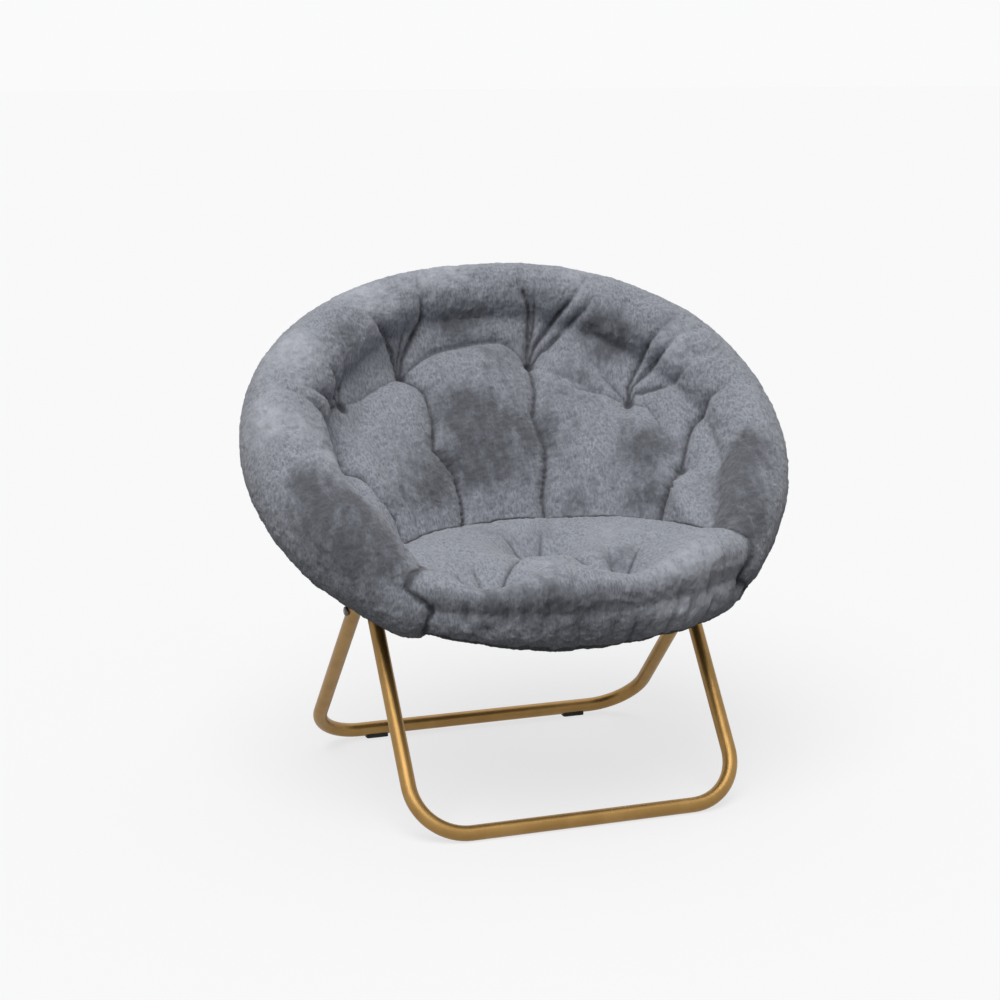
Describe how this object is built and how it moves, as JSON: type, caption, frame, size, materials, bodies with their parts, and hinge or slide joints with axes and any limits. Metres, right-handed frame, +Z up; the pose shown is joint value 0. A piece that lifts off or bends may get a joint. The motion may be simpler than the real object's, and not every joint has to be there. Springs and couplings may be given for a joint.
{
  "type": "folding saucer chair",
  "caption": "Round padded bucket seat on a hoop that folds across the front, carried by two U-shaped tube legs that cross like an X.",
  "frame": {"origin": "on the floor, below the middle of the whole chair's box", "axes": "+X to the viewer's right, +Y towards the back of the chair, +Z up; the sitter faces -Y"},
  "size_m": [0.8388, 0.7148, 0.7612],
  "materials": {
    "leg_tube": "satin antique-gold paint",
    "hoop_tube": "satin antique-gold paint",
    "fastener": "dark plated steel",
    "rubber": "matt black",
    "black_plastic": "matt black",
    "pile_fabric": "short thick blue-grey pile",
    "plain_fabric": "plain woven dark grey"
  },
  "bodies": {
    "front_foot_leg": {"front_foot_frame": "leg_tube", "cross_pivot_bolts": "fastener", "cross_pivot_nuts": "fastener", "cross_pivot_spacers": "black_plastic"},
    "rear_foot_leg": {"rear_foot_frame": "leg_tube", "rubber_feet": "rubber"},
    "rear_hoop": {"rear_hoop_arc": "hoop_tube", "rear_arc_plugs": "black_plastic", "rear_leg_brackets": "leg_tube", "rear_hinge_plates": "leg_tube", "rear_leg_rivets": "fastener", "hoop_hinge_rivets": "fastener", "hoop_hinge_washers": "black_plastic", "back_pad": "pile_fabric", "rear_hoop_sleeve": "plain_fabric"},
    "front_hoop": {"front_hoop_arc": "hoop_tube", "front_arc_plugs": "black_plastic", "front_leg_brackets": "leg_tube", "front_hinge_plates": "leg_tube", "front_slot_pins": "fastener", "seat_pad": "pile_fabric", "side_bolsters": "pile_fabric", "front_hoop_sleeve": "plain_fabric"}
  },
  "joints": [
    {"name": "leg_cross_pivot", "type": "hinge", "parent": "front_foot_leg", "child": "rear_foot_leg", "pos_m": [0, -0.07275, 0.28741], "axis": [-1, 0, 0], "range_deg": [0, 56]},
    {"name": "rear_hoop_pivot", "type": "hinge", "parent": "front_foot_leg", "child": "rear_hoop", "pos_m": [0, 0.17451, 0.59714], "axis": [-1, 0, 0], "range_deg": [-9.1, 0]},
    {"name": "hoop_hinge", "type": "hinge", "parent": "rear_hoop", "child": "front_hoop", "pos_m": [0, -0.10277, 0.38731], "axis": [-1, 0, 0], "range_deg": [0, 142.33], "deforming": ["back_pad", "seat_pad", "side_bolsters"]}
  ],
  "couplings": [
    {"joint": "rear_hoop_pivot", "follows": "leg_cross_pivot", "ratio": -0.16235},
    {"joint": "hoop_hinge", "follows": "leg_cross_pivot", "ratio": 2.5416}
  ]
}
